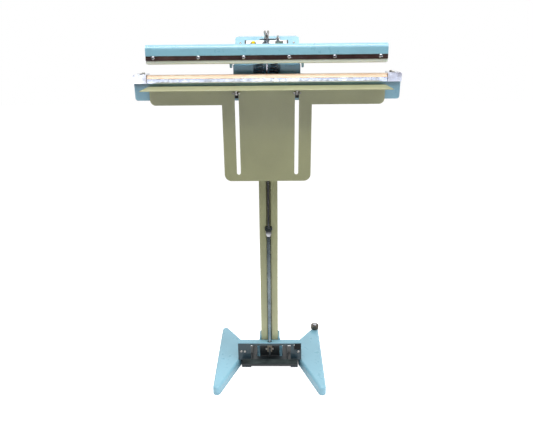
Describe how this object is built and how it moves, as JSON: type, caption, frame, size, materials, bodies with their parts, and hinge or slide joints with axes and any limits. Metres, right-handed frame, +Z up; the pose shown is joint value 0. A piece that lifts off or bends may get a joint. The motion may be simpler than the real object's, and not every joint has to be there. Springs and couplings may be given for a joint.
{
  "type": "foot operated impulse heat sealer",
  "caption": "Column-mounted impulse heat sealer: a pedal and pull rod swing a long padded jaw down onto a taped sealing bar behind a T-shaped work table.",
  "frame": {"origin": "on the floor, at the middle of the machine's plan", "axes": "+X to the operator's right along the jaw, -Y towards the operator, +Z up along the column"},
  "size_m": [0.696, 0.372, 1.062],
  "materials": {
    "blue_paint": "satin",
    "cream_paint": "satin",
    "slate_paint": "satin",
    "chrome_plate": "polished",
    "bright_aluminium": "polished",
    "zinc_steel": "satin",
    "spring_steel": "satin",
    "laminated_steel": "matte",
    "bronze": "satin",
    "copper_winding": "matte",
    "black_rubber": "matte",
    "tread_rubber": "matte",
    "silicone_rubber": "matte",
    "insulation": "matte",
    "glass_tape": "satin",
    "element_alloy": "satin",
    "white_panel": "satin",
    "black_plastic": "satin",
    "green_plastic": "gloss",
    "yellow_lens": "gloss",
    "board": "satin"
  },
  "bodies": {
    "stand": {"left_foot": "blue_paint", "right_foot": "blue_paint", "crossmember": "blue_paint", "base_plate": "blue_paint", "column": "cream_paint", "base_bolts": "zinc_steel", "rubber_feet": "black_rubber", "pedal_pivot_pin": "zinc_steel", "retaining_clips": "spring_steel", "body_housing": "blue_paint", "rear_cover": "blue_paint", "body_floor": "blue_paint", "control_panel": "white_panel", "housing_screws": "zinc_steel", "indicator_lamp": "yellow_lens", "panel_bezels": "black_plastic", "transformer_core": "laminated_steel", "transformer_coil": "copper_winding", "timer_board": "board", "power_inlet": "black_plastic", "fuse_holder": "black_plastic", "hinge_shaft": "zinc_steel", "return_spring_left": "spring_steel", "return_spring_right": "spring_steel", "lower_beam": "blue_paint", "sealing_bar": "bright_aluminium", "insulation_strip": "insulation", "heating_element": "element_alloy", "ptfe_tape": "glass_tape", "terminal_cover_left": "chrome_plate", "terminal_cover_right": "chrome_plate", "terminal_screws": "zinc_steel", "terminal_blocks": "bronze"},
    "jaw": {"yoke": "blue_paint", "hinge_bushes": "bronze", "upper_jaw_cover": "blue_paint", "upper_jaw_bar": "chrome_plate", "silicone_strip": "silicone_rubber", "jaw_screws": "chrome_plate", "microswitch": "black_plastic"},
    "plunger": {"switch_plunger": "green_plastic"},
    "pull_rod": {"upper_rod": "chrome_plate", "lower_rod": "chrome_plate", "rod_coupling": "chrome_plate", "rod_clevis": "chrome_plate", "clevis_pin": "zinc_steel", "pressure_plate": "chrome_plate", "pressure_spring": "spring_steel", "switch_screw": "zinc_steel"},
    "adjuster": {"rod_adjuster": "slate_paint"},
    "wing_nut": {"pressure_wing_nut": "zinc_steel"},
    "pedal": {"pedal_plate": "slate_paint", "pedal_pad": "tread_rubber", "pedal_bushes": "bronze"},
    "table": {"work_table": "cream_paint"},
    "left_wing_bolt": {"wing_bolt_left": "zinc_steel"},
    "right_wing_bolt": {"wing_bolt_right": "zinc_steel"},
    "timer_dial": {"timer_knob": "black_plastic"},
    "rocker": {"power_rocker": "green_plastic"},
    "leveller": {"levelling_screw": "zinc_steel"}
  },
  "joints": [
    {"name": "jaw_close", "type": "hinge", "parent": "stand", "child": "jaw", "pos_m": [0, 0.105, 0.985], "axis": [1, 0, 0], "range_deg": [0, 8.4], "stiffness_Nm_per_rad": 16, "springref_deg": -25.78, "deforming": ["return_spring_left", "return_spring_right"]},
    {"name": "rod_pull", "type": "slide", "parent": "stand", "child": "pull_rod", "axis": [0, 0, -1], "range_m": [0, 0.0188]},
    {"name": "pedal_press", "type": "hinge", "parent": "stand", "child": "pedal", "pos_m": [0, 0.068, 0.03], "axis": [1, 0, 0], "range_deg": [0, 12.2]},
    {"name": "adjuster_turn", "type": "hinge", "parent": "pull_rod", "child": "adjuster", "pos_m": [0, -0.023, 0.4989], "axis": [0, 0, 1], "continuous": true},
    {"name": "wing_nut_turn", "type": "hinge", "parent": "pull_rod", "child": "wing_nut", "pos_m": [0, -0.023, 1.0414], "axis": [0, 0, 1], "continuous": true},
    {"name": "switch_press", "type": "slide", "parent": "jaw", "child": "plunger", "axis": [0, -0.1461, -0.9893], "range_m": [0, 0.001], "stiffness_N_per_m": 60, "springref_m": -0.001},
    {"name": "table_slide", "type": "slide", "parent": "stand", "child": "table", "axis": [0, 0, 1], "range_m": [-0.0045, 0.006]},
    {"name": "left_bolt_turn", "type": "hinge", "parent": "stand", "child": "left_wing_bolt", "pos_m": [-0.0795, -0.085, 0.909], "axis": [0, 1, 0], "continuous": true},
    {"name": "right_bolt_turn", "type": "hinge", "parent": "stand", "child": "right_wing_bolt", "pos_m": [0.0795, -0.085, 0.909], "axis": [0, 1, 0], "continuous": true},
    {"name": "timer_turn", "type": "hinge", "parent": "stand", "child": "timer_dial", "pos_m": [-0.004, 0.05113, 1.02108], "axis": [0, -0.741, 0.6715], "range_deg": [0, 280]},
    {"name": "rocker_tilt", "type": "hinge", "parent": "stand", "child": "rocker", "pos_m": [0.034, 0.05679, 1.02405], "axis": [1, 0, 0], "range_deg": [0, 12]},
    {"name": "leveller_turn", "type": "hinge", "parent": "stand", "child": "leveller", "pos_m": [0.162, 0.157, 0.02], "axis": [0, 0, 1], "continuous": true}
  ],
  "couplings": [
    {"joint": "rod_pull", "follows": "jaw_close", "m_per_rad": 0.12755},
    {"joint": "pedal_press", "follows": "jaw_close", "ratio": 1.4484}
  ]
}
